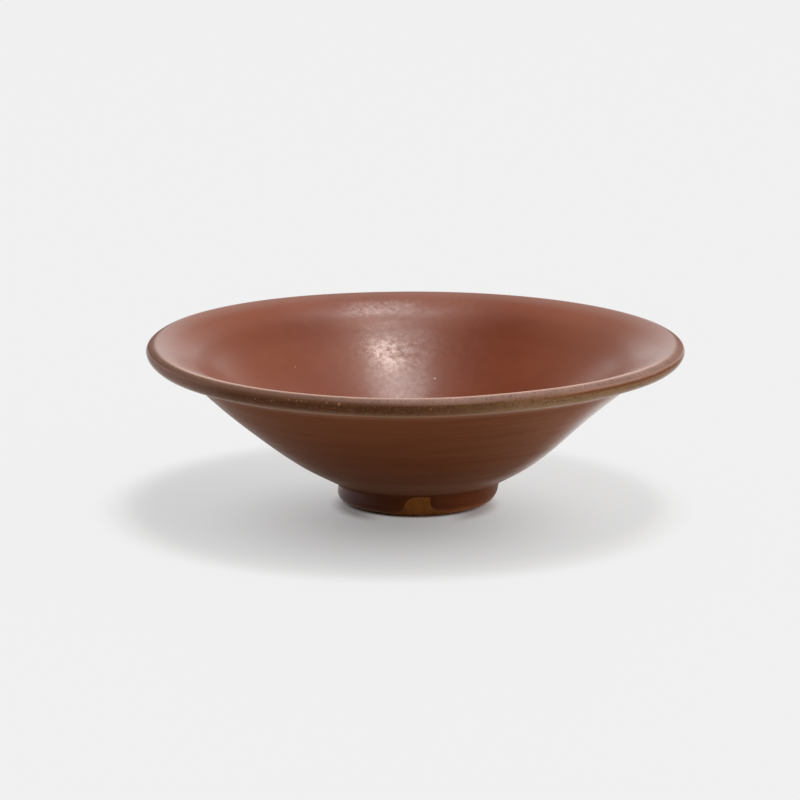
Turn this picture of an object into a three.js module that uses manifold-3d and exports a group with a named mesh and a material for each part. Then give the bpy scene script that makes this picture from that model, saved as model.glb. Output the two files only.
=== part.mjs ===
// Tea bowl: thin thrown stoneware with a flaring wall, a rolled lip and a turned foot ring, coated in a
// russet iron glaze that stops short of the table and leaves one bare patch on the foot.
// Millimetres, +Z up. The origin is on the table, under the bowl's axis, and the bare patch faces -Y.
import * as THREE from 'three';
import { mergeVertices } from 'three/addons/utils/BufferGeometryUtils.js';
import Module from 'manifold-3d';

// Overall sizes, measured over the glaze
const rimDiameter = 150;
const bowlHeight = 46;
const coatThickness = 0.5;

// Lip: a level crest, an outer edge that rolls over, and an arris that overhangs the wall
const crestInset = 2.7; // crest circle, inside the widest circle
const crestRise = 2; // crest, above the widest circle
const ridgeAngle = 32; // degrees up the roll, where the worn band of the lip begins
const arrisInset = 2.5; // arris, inside the widest circle
const arrisDrop = 3.3; // arris, below the widest circle
const bandFullness = 1.6; // depth over which the band below the widest circle stays upright
const eaveSlope = 9; // degrees, underside of the lip
const eaveWidth = 6.75; // underside of the lip, from the arris in to the line of the wall
const neckBlend = 4; // run of wall that curves out into the underside of the lip

// Wall: a belly that rises out of the foot and straightens into a cone that ends under the lip
const wallThickness = 4.6; // clay with a coat on each side
const bellyRadius = 96.5; // curve of the belly's outside
const coneLength = 30.3; // straight run of the outside, up to the underside of the lip
const floorHeight = 10.4; // floor inside the bowl, above the table
const wellRadius = 32; // curve between that floor and the wall

// Foot ring
const footDiameter = 45;
const creaseHeight = 5.9; // crease between foot and wall, above the table
const bevelHeight = 3.7; // rounded lower edge of the foot
const contactDiameter = 36; // outside of the ring that stands on the table
const contactWidth = 3.5;
const recessTaper = 1; // how far the hollow under the bowl narrows upwards
const glazeLineAngle = 50; // degrees down the bevel, where the glaze stops

// Bare patch, seen from the front: widths from the axis, heights from the table
const patchLeft = 3.7;
const patchShoulder = 2; // rounds the upper left corner
const patchRight = 4.5;
const patchCover = 0.7; // strip of glaze left between the patch and the crease
const tailReach = 8; // thin tail along the lower edge
const tailHeight = 1.4;
const tailRoot = 2.2; // height of the tail where it leaves the patch

// Facets
const turns = 64; // around the axis
const fineSteps = 5;
const bendSteps = 4;
const shortSteps = 2;

const quarterTurn = 90;
const radians = THREE.MathUtils.degToRad;
const degrees = THREE.MathUtils.radToDeg;
const point = (r, z) => new THREE.Vector2(r, z);

function arc(centre, acrossRadius, upRadius, from, to, steps) {
  const curve = new THREE.EllipseCurve(
    centre.x, centre.y, acrossRadius, upRadius, radians(from), radians(to), to < from);
  return curve.getPoints(steps);
}

function bend(start, control, end, steps) {
  return new THREE.QuadraticBezierCurve(start, control, end).getPoints(steps);
}

// One run of points out of several that meet end to end
function chain(...runs) {
  const sameSpot = 1e-6;
  return runs.flat().filter((p, i, all) => i === 0 || p.distanceTo(all[i - 1]) > sameSpot);
}

// The run moved square to itself, into the clay on its left, with mitred corners
function inset(run, distance) {
  const leftOf = (a, b) => point(a.y - b.y, b.x - a.x).normalize();
  return run.map((p, i) => {
    const ahead = i < run.length - 1 ? leftOf(p, run[i + 1]) : leftOf(run[i - 1], p);
    const behind = i > 0 ? leftOf(run[i - 1], p) : ahead;
    const mitre = behind.clone().add(ahead).normalize();
    return p.clone().addScaledVector(mitre, distance / mitre.dot(ahead));
  });
}

// Lip, from its arris over the roll to the crest
const rimRadius = rimDiameter / 2;
const widestHeight = bowlHeight - crestRise;
const widest = point(rimRadius, widestHeight);
const arris = point(rimRadius - arrisInset, widestHeight - arrisDrop);
const bandControl = point(rimRadius, widestHeight - bandFullness);
const rollCentre = point(rimRadius - crestInset, widestHeight);
const rollTo = (from, to) => arc(rollCentre, crestInset, crestRise, from, to, shortSteps);

// Outside of the wall: the slopes at which a belly of this radius leaves the crease at the foot,
// and passes smoothly into a cone of this length that ends under the lip
const footRadius = footDiameter / 2;
const crease = point(footRadius, creaseHeight);
const uphill = (slope) => point(Math.cos(radians(slope)), Math.sin(radians(slope)));
const inward = (slope) => point(-Math.sin(radians(slope)), Math.cos(radians(slope)));
const eave = arris.clone().addScaledVector(uphill(eaveSlope), -eaveWidth);
const wallRun = eave.clone().sub(crease);
const bellySine = (wallRun.lengthSq() - coneLength ** 2) / (2 * bellyRadius * wallRun.length());
const footSlope = degrees(wallRun.angle() - Math.asin(bellySine));
const bellyCentre = crease.clone().addScaledVector(inward(footSlope), bellyRadius);
const toEave = eave.clone().sub(bellyCentre);
const eaveBearing = Math.atan2(toEave.y, toEave.x);
const wallSlope = quarterTurn + degrees(eaveBearing - Math.atan2(coneLength, bellyRadius));
const neck = eave.clone().addScaledVector(uphill(wallSlope), -neckBlend);

// Inside of the wall, a wall's thickness from the outside, flaring out to the level crest
const crest = point(rimRadius - crestInset, bowlHeight);
const crestDepth = crest.clone().sub(eave).dot(inward(wallSlope));
const flareRadius = (wallThickness - crestDepth) / (1 - Math.cos(radians(wallSlope)));
const flareCentre = point(crest.x, crest.y - flareRadius);
const innerBelly = bellyRadius - wallThickness;
const wellLift = floorHeight + wellRadius - bellyCentre.y;
const wellCentre = point(
  bellyCentre.x + Math.sqrt((innerBelly - wellRadius) ** 2 - wellLift ** 2), floorHeight + wellRadius);
const wellSlope = degrees(Math.asin((wellCentre.x - bellyCentre.x) / (innerBelly - wellRadius)));

// The glazed skin, in one run up the foot and the wall, over the lip and down to the middle of the floor
const contactRadius = contactDiameter / 2;
const bevelCentre = point(contactRadius, bevelHeight);
const footSkin = chain(
  arc(bevelCentre, footRadius - contactRadius, bevelHeight, -glazeLineAngle, 0, bendSteps), [crease]);
const below = (slope) => slope - quarterTurn; // bearing, from a curve's centre, of its spot with this slope
const outerSkin = chain(
  arc(bellyCentre, bellyRadius, bellyRadius, below(footSlope), below(wallSlope), bendSteps),
  bend(neck, eave, arris, bendSteps));
const lipSkin = chain(bend(arris, bandControl, widest, bendSteps), rollTo(0, ridgeAngle));
const innerSkin = chain(
  rollTo(ridgeAngle, quarterTurn),
  arc(flareCentre, flareRadius, flareRadius, quarterTurn, quarterTurn + wallSlope, fineSteps),
  arc(bellyCentre, innerBelly, innerBelly, below(wallSlope), below(wellSlope), shortSteps),
  arc(wellCentre, wellRadius, wellRadius, below(wellSlope), below(0), bendSteps),
  [point(0, floorHeight)]);
const skin = chain(footSkin, outerSkin, lipSkin, innerSkin);
const clay = inset(skin, coatThickness);
const creaseAt = footSkin.length - 1;
const arrisAt = creaseAt + outerSkin.length - 1;
const ridgeAt = arrisAt + lipSkin.length - 1;
const floorAt = skin.length - 1;

// Sections, each traced with its material on the left
const seatHeight = clay[creaseAt].y;
const recessRadius = contactRadius - contactWidth;
const bodySection = [point(0, seatHeight), ...clay.slice(creaseAt)];
const ringSection = [
  point(recessRadius, 0),
  point(contactRadius, 0),
  ...clay.slice(0, creaseAt + 1),
  point(recessRadius - recessTaper, seatHeight),
  point(recessRadius, 0),
];

function coatSection(first, last) {
  const section = [...clay.slice(first, last + 1).reverse(), ...skin.slice(first, last + 1)];
  const closesOnAxis = section[0].x === 0;
  return closesOnAxis ? section : [...section, section[0]];
}

function turned(section) {
  return new THREE.LatheGeometry(section, turns).rotateX(Math.PI / 2);
}

// The opening through the coat of the foot that shows the bare clay
function patchCutter() {
  const bottom = -coatThickness;
  const top = creaseHeight - patchCover;
  const outline = new THREE.Shape();
  outline.moveTo(-patchLeft, bottom);
  outline.lineTo(tailReach, bottom);
  outline.lineTo(tailReach, tailHeight);
  outline.lineTo(patchRight, tailRoot);
  outline.lineTo(patchRight, top);
  outline.lineTo(0, top);
  outline.quadraticCurveTo(-patchShoulder, top, -patchLeft, bottom);
  const depth = footDiameter - contactRadius;
  const block = new THREE.ExtrudeGeometry(outline, { depth, bevelEnabled: false, curveSegments: bendSteps });
  return block.rotateX(Math.PI / 2);
}

const wasm = await Module();
wasm.setup();

function solidOf(geometry) {
  const bare = geometry.clone();
  bare.deleteAttribute('normal');
  bare.deleteAttribute('uv');
  const merged = mergeVertices(bare);
  return new wasm.Manifold(new wasm.Mesh({
    numProp: 3,
    vertProperties: new Float32Array(merged.attributes.position.array),
    triVerts: new Uint32Array(merged.index.array),
  }));
}

function cutAway(geometry, cutter) {
  const mesh = solidOf(geometry).subtract(solidOf(cutter)).getMesh();
  const result = new THREE.BufferGeometry();
  result.setAttribute('position', new THREE.BufferAttribute(new Float32Array(mesh.vertProperties), 3));
  result.setIndex(new THREE.BufferAttribute(new Uint32Array(mesh.triVerts), 1));
  result.computeVertexNormals();
  return result;
}

const footCoat = cutAway(turned(coatSection(0, creaseAt)), patchCutter());

const bowl = new THREE.Group();

function add(name, geometry, color, roughness) {
  const mesh = new THREE.Mesh(geometry, new THREE.MeshStandardMaterial({ color, roughness, metalness: 0 }));
  mesh.name = name;
  bowl.add(mesh);
}

add('clay_body', turned(bodySection), 0xa8763f, 0.9);
add('foot_ring', turned(ringSection), 0x9c6a38, 0.9);
add('outer_glaze', turned(coatSection(creaseAt, arrisAt)), 0x6e4330, 0.32);
add('lip_glaze', turned(coatSection(arrisAt, ridgeAt)), 0x73583b, 0.45);
add('inner_glaze', turned(coatSection(ridgeAt, floorAt)), 0x8a5540, 0.35);
add('foot_glaze', footCoat, 0x54301f, 0.35);

export default bowl;
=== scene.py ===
# %% [markdown]
# # A russet tea bowl, from clay to glaze
# A potter throws this bowl as a thin flaring wall, rolls its lip over, turns a small foot ring under it
# and dips it in an iron glaze. Here the same steps are taken in Blender: a section is drawn, spun on a
# wheel made of Geometry Nodes, and coated with glazes that are mixed from noise.
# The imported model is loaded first, as a fixed frame. It gives the main sizes, so every piece that is made
# below lies where its solid lies, in metres.

# %% Load the frame
import math

import bpy
import numpy
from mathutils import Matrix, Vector


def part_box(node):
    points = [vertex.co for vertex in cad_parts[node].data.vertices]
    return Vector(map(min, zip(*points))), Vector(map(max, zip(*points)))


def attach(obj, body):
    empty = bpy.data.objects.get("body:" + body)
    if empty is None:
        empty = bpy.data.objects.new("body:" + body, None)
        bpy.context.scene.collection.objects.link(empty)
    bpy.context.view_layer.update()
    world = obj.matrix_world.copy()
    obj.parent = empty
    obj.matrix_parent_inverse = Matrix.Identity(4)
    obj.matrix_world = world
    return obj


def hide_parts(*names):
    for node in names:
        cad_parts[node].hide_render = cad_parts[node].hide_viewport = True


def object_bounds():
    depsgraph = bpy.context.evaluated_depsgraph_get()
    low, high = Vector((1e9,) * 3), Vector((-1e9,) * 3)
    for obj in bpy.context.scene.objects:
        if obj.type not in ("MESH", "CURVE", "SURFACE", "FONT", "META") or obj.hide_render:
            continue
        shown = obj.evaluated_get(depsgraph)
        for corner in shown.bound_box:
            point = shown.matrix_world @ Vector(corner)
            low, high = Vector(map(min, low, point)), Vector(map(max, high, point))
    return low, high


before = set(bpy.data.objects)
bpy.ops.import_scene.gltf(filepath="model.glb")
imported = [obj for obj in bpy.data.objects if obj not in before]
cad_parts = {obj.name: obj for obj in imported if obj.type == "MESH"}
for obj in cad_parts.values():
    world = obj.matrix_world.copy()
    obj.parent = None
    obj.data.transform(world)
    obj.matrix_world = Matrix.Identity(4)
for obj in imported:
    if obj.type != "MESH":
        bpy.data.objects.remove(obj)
cad_low, cad_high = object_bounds()
mm = 0.001
print("bowl box, mm:", [round(side / mm, 1) for side in cad_high - cad_low])

# %% [markdown]
# ## Where the camera stands
# The bowl is seen from a little above its lip, from far off, so its rim is a thin ellipse and its sides
# hardly converge. A long lens at one metre gives that. The bowl also sits a little off the middle of the
# picture, so the camera looks at a target beside the bowl's middle instead of being shifted.

# %% Set the camera
view_height = 12.95  # degrees above the table
view_distance = 1.0
bowl_middle = Vector((0, 0, 22 * mm))
off_centre = 4.27 * mm  # the middle of the picture, left of the bowl's middle
above_centre = 6.75 * mm  # and above it
picture_width = 800  # pixels
focal_length = 3563.5  # in the same pixels

tilt = math.radians(view_height)
towards_camera = Vector((0, -math.cos(tilt), math.sin(tilt)))
picture_up = Vector((0, math.sin(tilt), math.cos(tilt)))
target = bowl_middle - Vector((off_centre, 0, 0)) + above_centre * picture_up


def new_object(name, data):
    made = bpy.data.objects.new(name, data)
    bpy.context.scene.collection.objects.link(made)
    return made


lens = bpy.data.cameras.new("long_lens")
lens.lens = focal_length / picture_width * lens.sensor_width
camera = new_object("camera", lens)
camera.location = bowl_middle + view_distance * towards_camera
camera.rotation_euler = (target - camera.location).to_track_quat("-Z", "Y").to_euler()
bpy.context.scene.camera = camera
print("lens, mm:", round(lens.lens, 1))

# %% [markdown]
# ## Building node trees in a few words
# Every material and every Geometry Nodes tree below is wired in the script. A few helpers keep that
# short. The first places a node and fills its inputs with plain values or with other nodes' outputs. An
# output knows which tree it belongs to, so a node that follows another needn't be told its tree. That
# keeps the other helpers brief, which place the commonest nodes: sums, vectors, ranges, noise and
# mixtures of colour.

# %% Define the helpers for nodes and sums
def put(tree, kind, inputs=None, **settings):
    placed = tree.nodes.new(kind)
    for setting, value in settings.items():
        setattr(placed, setting, value)
    for name, value in (inputs or {}).items():
        if isinstance(value, bpy.types.NodeSocket):
            tree.links.new(value, placed.inputs[name])
        else:
            placed.inputs[name].default_value = value
    return placed


def follow(kind, inputs, **settings):
    sources = [value for value in inputs.values() if isinstance(value, bpy.types.NodeSocket)]
    return put(sources[0].id_data, kind, inputs, **settings)


def add_socket(tree, name, kind, direction="INPUT", value=None):
    socket = tree.interface.new_socket(name, in_out=direction, socket_type=kind)
    if value is not None:
        socket.default_value = value


def sums(operation, *terms):
    return follow("ShaderNodeMath", dict(enumerate(terms)), operation=operation).outputs[0]


def times(product, *factors):
    for factor in factors:
        product = sums("MULTIPLY", product, factor)
    return product


def rest_of(share):
    return sums("SUBTRACT", 1.0, share)


def vectors(operation, *terms):
    placed = follow("ShaderNodeVectorMath", dict(enumerate(terms)), operation=operation)
    gives_number = operation in ("DISTANCE", "DOT_PRODUCT", "LENGTH")
    return placed.outputs["Value" if gives_number else "Vector"]


def scaled(vector, factor):
    return follow("ShaderNodeVectorMath", {0: vector, "Scale": factor}, operation="SCALE").outputs[0]


def vector_of(x=0.0, y=0.0, z=0.0):
    return follow("ShaderNodeCombineXYZ", {0: x, 1: y, 2: z}).outputs[0]


def axes(vector):
    return follow("ShaderNodeSeparateXYZ", {0: vector}).outputs


# %% Define the helpers for ranges and colours
def span(value, start, end, low=0.0, high=1.0):
    ends = {"Value": value, "From Min": start, "From Max": end, "To Min": low, "To Max": high}
    return follow("ShaderNodeMapRange", ends, interpolation_type="SMOOTHSTEP").outputs[0]


def hump(value, start, top, end):
    return times(span(value, start, top), span(value, top, end, 1.0, 0.0))


def between(share, low, high):
    return follow("ShaderNodeMapRange", {"Value": share, "To Min": low, "To Max": high}).outputs[0]


def noise(place, seed, scale, **more):
    inputs = {"Vector": place, "W": seed, "Scale": scale, **more}
    return follow("ShaderNodeTexNoise", inputs, noise_dimensions="4D").outputs[0]


def object_place(tree):
    return put(tree, "ShaderNodeTexCoord").outputs["Object"]


def mixed(share, first, second):
    return follow("ShaderNodeMix", {0: share, 6: first, 7: second}, data_type="RGBA").outputs[2]


def colour(red, green, blue):
    def linear(level):
        share = level / 255
        return share / 12.92 if share <= 0.04045 else ((share + 0.055) / 1.055) ** 2.4
    return (linear(red), linear(green), linear(blue), 1.0)


def tinted(ground, *layers):
    for share, tint in layers:
        ground = mixed(share, ground, colour(*tint))
    return ground


def blank_finish(name):
    finish = bpy.data.materials.new(name)
    finish.use_nodes = True
    finish.node_tree.nodes.clear()
    return finish, finish.node_tree


print("a middle grey in the linear scale:", round(colour(128, 128, 128)[0], 3))

# %% [markdown]
# ## The light
# The bowl stands in a pale room. A long soft lamp hangs over it and draws the broad glow down the inside
# of the bowl. A small round one, nearly straight above, makes the bright spot in that glow and the soft
# edge of the shadow. A weak one behind lights the inside just below the far lip. The rest comes from the
# room, which is brighter behind and on the right. There its ceiling is brighter too, which is what the
# glossy glaze mirrors. Lower down, the glaze and the camera see a pale backdrop.

# %% Light the room
pale = 0.88  # the lit table, where 1 is white
soft_share = 0.32  # of the light on the table, all of which makes 1
round_share = 0.155
back_share = 0.03
room_share = 1 - soft_share - round_share - back_share
brighter_side = Vector((0.9, 0.55, 0.0))
ceiling = (0.03, 0.26)  # what a reflection sees above the backdrop, on the dimmer and the brighter side
ceiling_turn = (-0.1, 0.45)  # how far to the brighter side it starts and ends to change
backdrop_end = (0.22, 0.5)  # how far up the backdrop starts and ends to pass into the ceiling

world = bpy.data.worlds.new("pale_room")
world.use_nodes = True
tree = world.node_tree
tree.nodes.clear()
direction = put(tree, "ShaderNodeTexCoord").outputs["Generated"]
to_bright = vectors("DOT_PRODUCT", direction, brighter_side)
room = times(sums("ADD", to_bright, 1.0), room_share)
overhead = span(to_bright, *ceiling_turn, *ceiling)
mirrored = span(axes(direction)[2], *backdrop_end, pale, overhead)
path = put(tree, "ShaderNodeLightPath").outputs
seen = sums("MAXIMUM", path["Is Camera Ray"], path["Is Transmission Ray"])
level = between(path["Is Glossy Ray"], between(seen, room, pale), mirrored)
backdrop = put(tree, "ShaderNodeBackground", {"Color": (1, 1, 1, 1), "Strength": level})
put(tree, "ShaderNodeOutputWorld", {"Surface": backdrop.outputs[0]})
bpy.context.scene.world = world
bpy.context.scene.view_settings.view_transform = "Standard"
print("share of the light that comes from the room:", round(room_share, 3))

# %% Hang the lamps
lamp_distance = 3.0
round_width = 9  # degrees that a round lamp fills


def hang(light, direction):
    lamp = new_object(light.name, light)
    lamp.location = lamp_distance * direction.normalized()
    facing = Vector((0, direction.y, direction.z)) if light.type == "AREA" else direction
    lamp.rotation_euler = facing.to_track_quat("Z", "Y").to_euler()
    print(light.name, "hangs at", [round(side, 2) for side in lamp.location])


def round_light(name, share, direction):
    light = bpy.data.lights.new(name, "SUN")
    light.energy = share * math.pi / direction.normalized().z
    light.angle = math.radians(round_width)
    hang(light, direction)
    return light


round_lamp = round_light("round_lamp", round_share, Vector((0.13, -0.055, 0.99)))
round_lamp.color = (1.0, 0.85, 0.77)
round_light("back_lamp", back_share, Vector((0.095, 0.29, 0.95)))

soft_from = Vector((0.065, 0.06, 0.99))
soft_lamp = bpy.data.lights.new("soft_lamp", "AREA")
soft_lamp.shape = "RECTANGLE"
soft_lamp.size = 0.95
soft_lamp.size_y = 3.2
soft_lamp.energy = soft_share * (math.pi * lamp_distance) ** 2 / soft_from.normalized().z
hang(soft_lamp, soft_from)

# %% [markdown]
# ## The table
# The table is pale and has no visible end. It is also a little bright by itself where the camera or a
# reflection sees it, which keeps the shadow pale without more light on the bowl. That brightness sinks
# under the bowl, most of all in front of the foot and beside it, so the bowl still stands firmly on the
# table. From below, the table is clear, so the foot can be looked at.

# %% Lay the table
table_reach = 8.0
table_mesh = bpy.data.meshes.new("table")
corners = [(-table_reach, -table_reach, 0), (table_reach, -table_reach, 0),
           (table_reach, table_reach, 0), (-table_reach, table_reach, 0)]
table_mesh.from_pydata(corners, [], [(0, 1, 2, 3)])
table = new_object("table", table_mesh)
print("table laid,", 2 * table_reach, "m wide")

# %% Finish the table
glow_under = 0.74  # share of the table's own brightness, where it is seen directly, under the bowl
glow_around = 0.95  # and all round it
glow_middle = Vector((-5.5 * mm, -5 * mm, 0))
glow_edge = (70 * mm, 86 * mm)
glow_slope = Vector((0.6, 0.8, 0))  # under the bowl, it is brighter towards the back right
glow_levels = (-62 * mm, 65 * mm, 0.875, 0.99)
dark_spot = Vector((-4 * mm, -21 * mm, 0))  # the table is dimmest just in front of the foot
dark_reach = 62 * mm
dark_share = 0.49
dark_ring = (18.5 * mm, 21 * mm)  # no glow under the foot's edge
dark_middle = Vector((0, -4 * mm, 0))
dark_sides = (19.5 * mm, 25 * mm, 0.62, 0.0)  # and less of it beside the foot
side_start = (8 * mm, 17 * mm)  # how far left or right of the axis that begins

table_finish, tree = blank_finish("pale_table")
table_top = put(tree, "ShaderNodeBsdfPrincipled", {
    "Base Color": (0.975 * pale, pale, pale, 1), "Roughness": 0.45, "Specular IOR Level": 0.15})
place = object_place(tree)
from_middle = vectors("DISTANCE", place, glow_middle)
level = span(vectors("DOT_PRODUCT", place, glow_slope), *glow_levels)
level = span(from_middle, *glow_edge, level, 1.0)
glow = put(tree, "ShaderNodeEmission", {"Color": (pale, pale, pale, 1), "Strength": level})

around = span(from_middle, *glow_edge, glow_under, glow_around)
dimmed = span(vectors("DISTANCE", place, dark_spot), 0.0, dark_reach, dark_share, 1.0)
clear_of_foot = span(vectors("LENGTH", place), *dark_ring)
aside = span(sums("ABSOLUTE", axes(place)[0]), *side_start)
beside = times(aside, span(vectors("DISTANCE", place, dark_middle), *dark_sides))
path = put(tree, "ShaderNodeLightPath").outputs
seen = sums("MAXIMUM", path["Is Camera Ray"], path["Is Glossy Ray"])
seen = sums("MAXIMUM", seen, path["Is Transmission Ray"])
glow_share = times(around, dimmed, seen, clear_of_foot, rest_of(beside))

glowing = put(tree, "ShaderNodeMixShader", {0: glow_share, 1: table_top.outputs[0], 2: glow.outputs[0]})
from_below = put(tree, "ShaderNodeNewGeometry").outputs["Backfacing"]
clear = put(tree, "ShaderNodeBsdfTransparent")
sided = put(tree, "ShaderNodeMixShader", {0: from_below, 1: glowing.outputs[0], 2: clear.outputs[0]})
put(tree, "ShaderNodeOutputMaterial", {"Surface": sided.outputs[0]})
table_mesh.materials.append(table_finish)
print("table finished with", len(tree.nodes), "nodes")

# %% [markdown]
# ## The section of the bowl
# A potter checks the shape with a template, a flat profile that is held against the wet clay. This is
# that profile: one line up the foot and the wall, over the lip and down to the middle of the floor. The
# frame gives its main heights and widths. The slopes follow, because the belly has to leave the foot, run
# smoothly into the straight wall and end under the lip.

# %% Name the sizes of the section
rim_radius = cad_high.x
bowl_height = cad_high.z
foot_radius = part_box("foot_glaze")[1].x
crease_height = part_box("outer_glaze")[0].z
arris_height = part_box("lip_glaze")[0].z
seat_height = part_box("clay_body")[0].z
coat = 0.5 * mm
floor_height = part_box("inner_glaze")[0].z + coat

crest_inset = 2.7 * mm  # crest of the lip, inside its widest circle
crest_rise = 2.0 * mm  # and above it
crest_slope = 13  # degrees, how steeply the inside falls away from the crest
ridge_angle = 32  # degrees up the roll of the lip, where the worn band begins
arris_inset = 2.5 * mm  # lower edge of the lip, inside its widest circle
band_fullness = 1.6 * mm  # depth over which the lip stays upright
eave_slope = 9  # degrees, underside of the lip
eave_width = 6.75 * mm
neck_blend = 4.0 * mm
belly_radius = 96.5 * mm
cone_length = 30.3 * mm  # straight run of the wall
inside_radius = 130.0 * mm  # hollow curve of the inside
thinnest_wall = 4.0 * mm  # wall at the middle of that curve
thinnest_drop = 16.4 * mm  # how far down the wall that is
hollow_end_slope = 36.5  # degrees, where the curve passes into the straight run to the well
well_radius = 32.0 * mm
bevel_height = 3.7 * mm  # rounded lower edge of the foot
contact_radius = 18.0 * mm
contact_width = 3.5 * mm
recess_taper = 1.0 * mm
glaze_line_angle = 50  # degrees down the bevel, where the glaze stops
crease_pool = 1.5 * mm  # glaze that has run together in the crease above the foot
arris_round = 0.6 * mm
print("rim radius, mm:", round(rim_radius / mm, 2), "foot radius, mm:", round(foot_radius / mm, 2))


# %% Work out the slopes of the wall
def spot(radius, height):
    return Vector((radius, height))


def uphill(slope):
    return Vector((math.cos(math.radians(slope)), math.sin(math.radians(slope))))


def left_of(direction):
    return Vector((-direction.y, direction.x))


widest_height = bowl_height - crest_rise
arris = spot(rim_radius - arris_inset, arris_height)
crease = spot(foot_radius, crease_height)
eave = arris - eave_width * uphill(eave_slope)
wall_run = eave - crease
belly_sine = (wall_run.length_squared - cone_length ** 2) / (2 * belly_radius * wall_run.length)
foot_slope = math.degrees(math.atan2(wall_run.y, wall_run.x) - math.asin(belly_sine))
belly_centre = crease + belly_radius * left_of(uphill(foot_slope))
to_eave = eave - belly_centre
eave_bearing = math.atan2(to_eave.y, to_eave.x)
wall_slope = 90 + math.degrees(eave_bearing - math.atan2(cone_length, belly_radius))
print("slopes, degrees:", round(foot_slope, 2), "at the foot,", round(wall_slope, 2), "at the wall")

# %% [markdown]
# ## Drawing the line
# The line is made of arcs, bends and straight runs. Each takes a pitch, the distance between its points,
# so that the lip and the foot can be drawn finer than the wall. Every point also knows how far along the
# line it lies, its run. The glazes use the run later to put a rust line or a worn edge just where the
# shape has its ridge.

# %% Define the parts of a line
same_spot = 0.001 * mm


def arc(centre, across, up, start, end, pitch):
    steps = max(2, round(max(across, up) * abs(math.radians(end - start)) / pitch))
    bearings = [math.radians(start + (end - start) * k / steps) for k in range(steps + 1)]
    return [centre + spot(across * math.cos(b), up * math.sin(b)) for b in bearings]


def straight(start, end, pitch):
    steps = max(1, round((end - start).length / pitch))
    return [start.lerp(end, k / steps) for k in range(steps + 1)]


def bend(start, corner, end, pitch):
    half = max(1, round((end - start).length / pitch / 2))
    shares = [k / half / 2 for k in range(2 * half + 1)]
    return [start.lerp(corner, t).lerp(corner.lerp(end, t), t) for t in shares]


def chain(*runs):
    line = []
    for place in (place for run in runs for place in run):
        if not line or (place - line[-1]).length > same_spot:
            line.append(place)
    return line


def halves(run):
    middle = len(run) // 2
    return run[:middle + 1], run[middle:]


# %% Draw the outside, up the foot and the wall
foot_pitch = 0.2 * mm
wall_pitch = 0.45 * mm
lip_pitch = 0.22 * mm
inside_pitch = 0.5 * mm

bevel_centre = spot(contact_radius, bevel_height)
below_crease = crease - spot(0, crease_pool)
above_crease = crease + crease_pool * uphill(foot_slope)
pool_below, pool_above = halves(bend(below_crease, crease, above_crease, foot_pitch))
foot_line = chain(
    arc(bevel_centre, foot_radius - contact_radius, bevel_height, -glaze_line_angle, 0, foot_pitch),
    straight(spot(foot_radius, bevel_height), below_crease, foot_pitch),
    pool_below)

pool_turn = math.degrees(crease_pool / belly_radius)
belly_start = foot_slope + pool_turn - 90
belly = arc(belly_centre, belly_radius, belly_radius, belly_start, wall_slope - 90, wall_pitch)
neck = eave - neck_blend * uphill(wall_slope)
band_corner = spot(rim_radius, widest_height - band_fullness)
before_arris = arris - arris_round * uphill(eave_slope)
after_arris = arris + arris_round * (band_corner - arris).normalized()
arris_under, arris_over = halves(bend(before_arris, arris, after_arris, lip_pitch))
wall_line = chain(
    pool_above,
    belly,
    straight(belly[-1], neck, wall_pitch),
    bend(neck, eave, before_arris, lip_pitch),
    arris_under)
print(len(foot_line), "points up the foot,", len(wall_line), "up the wall")

# %% Draw the lip and the inside
roll_centre = spot(rim_radius - crest_inset, widest_height)
lip_line = chain(
    arris_over,
    bend(after_arris, band_corner, spot(rim_radius, widest_height), lip_pitch),
    arc(roll_centre, crest_inset, crest_rise, 0, ridge_angle, lip_pitch))
facet = arc(roll_centre, crest_inset, crest_rise, ridge_angle, 90, lip_pitch)

crest = spot(rim_radius - crest_inset, bowl_height)
inward = left_of(uphill(wall_slope))
thinnest = eave - thinnest_drop * uphill(wall_slope) + thinnest_wall * inward
hollow_centre = thinnest + inside_radius * inward
crest_inward = -left_of(uphill(crest_slope))
to_crest = crest - hollow_centre
flare_radius = to_crest.length_squared - inside_radius ** 2
flare_radius /= 2 * (inside_radius - to_crest.dot(crest_inward))
flare_centre = crest + flare_radius * crest_inward
across_centres = flare_centre - hollow_centre
steepest = math.degrees(math.atan2(across_centres.x, -across_centres.y))
flare = arc(flare_centre, flare_radius, flare_radius, 90 + crest_slope, 90 + steepest, inside_pitch)
hollow_end = hollow_end_slope - 90
hollow = arc(hollow_centre, inside_radius, inside_radius, steepest - 90, hollow_end, inside_pitch)
print("flare radius, mm:", round(flare_radius / mm, 1), "steepest inside, degrees:", round(steepest, 1))

well_lift = well_radius * (1 - math.cos(math.radians(hollow_end_slope)))
well_drop = hollow[-1].y - floor_height - well_lift
well_start = hollow[-1] - well_drop / math.sin(math.radians(hollow_end_slope)) * uphill(hollow_end_slope)
well_centre = well_start + well_radius * left_of(uphill(hollow_end_slope))
well = arc(well_centre, well_radius, well_radius, hollow_end, -90, inside_pitch)
inside_line = chain(
    facet,
    flare,
    hollow,
    straight(hollow[-1], well_start, inside_pitch),
    well,
    straight(well[-1], spot(0, floor_height), inside_pitch))
print(len(lip_line), "points over the lip,", len(inside_line), "down the inside")

# %% Join the skin and measure the runs
skin = chain(foot_line, wall_line, lip_line, inside_line)
crease_at = len(foot_line) - 1
arris_at = crease_at + len(wall_line) - 1
ridge_at = arris_at + len(lip_line) - 1
crest_at = ridge_at + len(facet) - 1
floor_at = len(skin) - 1

runs = [0.0]
for before, after in zip(skin, skin[1:]):
    runs.append(runs[-1] + (after - before).length)
crease_run = runs[crease_at]
arris_run = runs[arris_at]
ridge_run = runs[ridge_at]
crest_run = runs[crest_at]
print("runs, mm:", [round(r / mm, 1) for r in (crease_run, arris_run, ridge_run, runs[floor_at])])

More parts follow.
